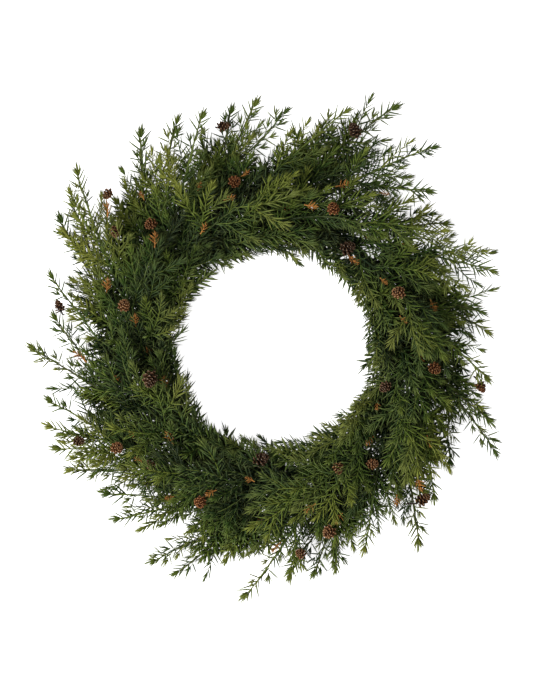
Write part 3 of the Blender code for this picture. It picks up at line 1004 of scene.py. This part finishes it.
# A scale lies along +Z from its foot, hollow side towards -Y, with a rounded lip.
def makeScale(finish):
    long, wide = coneShapes["scaleLong"], coneShapes["scaleWide"]
    deselectAll()
    bpy.ops.mesh.primitive_grid_add(x_subdivisions=2, y_subdivisions=4, size=1.0)
    scale = bpy.context.object
    for vertex in scale.data.vertices:
        across, along = vertex.co.x * 2.0, vertex.co.y + 0.5
        spread = 0.34 + 0.66 * math.sin(math.pi * min(1.0, along / 1.35)) ** 1.2
        lip = long * along * (1.0 - 0.20 * across * across * along)
        cup = 0.16 * wide * across * across + 0.22 * long * along * along - 0.12 * long * along ** 5
        vertex.co = (0.5 * wide * across * spread, -cup, lip)
    for loop, place in zip(scale.data.loops, newMap(scale.data)):
        spot = scale.data.vertices[loop.vertex_index].co
        place.uv = (0.06 + 0.90 * spot.z / long, 0.05 * (spot.x / wide + 0.5))
    wall = scale.modifiers.new("wall", "SOLIDIFY")
    wall.thickness = coneShapes["thick"]
    wall.offset = 0.0
    bpy.ops.object.modifier_apply(modifier=wall.name)
    scale.data.materials.append(finish)
    scale.data.shade_smooth()
    scale.name = "coneScale"
    return putAway(scale)


# A cone stands on +Z: scales round a core by the golden angle, wide open at its foot.
def makeCone(name, chance, finish):
    size = coneShapes
    deselectAll()
    bpy.ops.mesh.primitive_uv_sphere_add(segments=10, ring_count=8, radius=1.0)
    core = bpy.context.object
    core.scale = (size["core"], size["core"], 0.42 * size["length"])
    core.location = (0.0, 0.0, 0.45 * size["length"])
    bpy.ops.object.transform_apply(location=True, rotation=True, scale=True)
    # the core takes the dark foot end of the map: painted shade deep inside the cone
    for loop, place in zip(core.data.loops, newMap(core.data)):
        spot = core.data.vertices[loop.vertex_index].co
        place.uv = (0.02 + 0.10 * spot.z / size["length"], 0.02 + 0.03 * (spot.x / size["core"] + 1.0))
    core.data.materials.append(finish)
    core.data.shade_smooth()
    pieces = [core]
    for number in range(size["count"]):
        share = (number + 0.5) / size["count"]
        turn = math.radians(goldenAngle * number)
        side = Vector((math.cos(turn), math.sin(turn), 0.0))
        opening = math.radians(between(size["openings"], share ** 0.9)
                               + chance.uniform(-size["sway"], size["sway"]))
        grow = upward * math.cos(opening) + side * math.sin(opening)
        foot = (upward * (size["length"] * (0.06 + 0.76 * share))
                + side * size["core"] * (0.72 - 0.45 * share))
        grown = 0.62 + 0.50 * math.sin(math.pi * min(1.0, 0.15 + 0.75 * share)) - 0.25 * share
        # the hollow side of a scale faces the tip of the cone
        back = side * math.cos(opening) - upward * math.sin(opening)
        pieces.append(placed(scaleModel, foot, grow, back.cross(grow),
                             grown * chance.uniform(*size["sizes"]), chance.uniform(*size["tones"])))
    return putAway(joined(pieces, name))


# A cone on a stalk that ends in the nearest foliage.
def setCone(name, centreSpot, axis, length, tone, chance, finish):
    shape = coneShapes
    foot = centreSpot - axis * 0.5 * length
    model = chance.choice(coneModels)
    toward = Matrix.Rotation(chance.uniform(0.0, math.tau), 3, axis) @ axis.orthogonal()
    cone = placed(model, foot, axis, toward, shape["fill"] * length / shape["length"],
                  shape["toneSpan"] * tone, 1.0)
    reach = axis * shape["stalkReach"]
    stalkEnd = nearestPlace(foliage, foot - axis * shape["stalkFall"] - upward * shape["stalkFall"])
    stalk = makeStem("stalk", [foot + reach, foot - reach, stalkEnd], *shape["stalk"], shape["stalkTone"],
                     shape["stalkWidth"], finish)
    piece = joined([cone, stalk], name)
    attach(piece, "root")
    return piece


def leaningAxis(degrees, lean):
    return (Matrix.Rotation(math.radians(degrees * coneShapes["spin"]), 3, "Z")
            @ Matrix.Rotation(math.radians(lean), 3, "Y") @ upward)


setCamera()
setLights()
setFloor()
print("camera, lights and floor set")

foliageFinish = foliageMaterial()
coneFinish = coneMaterial()
for node, values in metalFinishes.items():
    finish = paintedMetal(*values)
    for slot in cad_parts[node].material_slots:
        slot.material = finish
print("materials made")

needles = {name: makeNeedle(name, finish=foliageFinish, **shape) for name, shape in needleShapes.items()}
stock = {}
for kind, shape in sprigShapes.items():
    stock[kind] = [growSprig(f"{kind}_{number}", shape, random.Random(f"{kind}{number}"), foliageFinish)
                   for number in range(3)]
for kind, shape in runShapes.items():
    stock[kind] = [growRun(f"{kind}_{number}", shape, random.Random(f"{kind}{number}"))
                   for number in range(4)]
for kind, shape in branchShapes.items():
    stock[kind] = [growBranchlet(f"{kind}_{number}", shape, random.Random(f"{kind}{number}"))
                   for number in range(3)]
print("sprigs and branchlets grown:", {kind: len(made[0].data.polygons) for kind, made in stock.items()})

coneSpots = [sum(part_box(f"cone_{number:02d}"), Vector()) * 0.5 for number in range(1, len(cadCones) + 1)]
trees, sprays = {}, {}
for tierName, tier in tiers.items():
    for index in range(len(tier["tips"])):
        name = f"{tierName}_{index + 1:02d}"
        trees[name] = treeOf(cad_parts[name].data)
        sprays[name] = growSpray(name, tierName, index)
chance = random.Random("dried tips")
for degrees, distance in driedTips:
    name, place = topSpray(trees, degrees, distance)
    sprays[name].append(growDriedTip(place, degrees, distance, chance, foliagePlaces(sprays[name])))
grown = []
for name, pieces in sprays.items():
    spray = joined(pieces, name + "_foliage")
    grown.append(spray)
    settle(spray.data)
    shadeNeedles(spray.data)
    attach(spray, "root")
    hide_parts(name)
foliage = foliagePlaces(grown)
print("sprays grown:", len(grown))

scaleModel = makeScale(coneFinish)
coneModels = [makeCone(f"cone{number}", random.Random(f"cone{number}"), coneFinish) for number in range(3)]
chance = random.Random("cones")
for number, ((degrees, length, lean), tone) in enumerate(zip(cadCones, coneTones), start=1):
    node = f"cone_{number:02d}"
    low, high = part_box(node)
    cone = setCone(node + "_scales", (low + high) * 0.5, leaningAxis(degrees, lean), length, tone, chance,
                   coneFinish)
    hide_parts(node)
for number, (degrees, distance, length) in enumerate(smallCones, start=1):
    place = nearestPlace(foliage, inWreath(degrees, distance, smallCone["height"]), smallCone["upright"])
    setCone(f"small_cone_{number:02d}", place + upward * smallCone["lift"],
            leaningAxis(degrees, smallCone["lean"]), length, chance.uniform(*smallCone["tones"]), chance,
            coneFinish)
print("cones set")

for model in models:
    bpy.data.objects.remove(model)
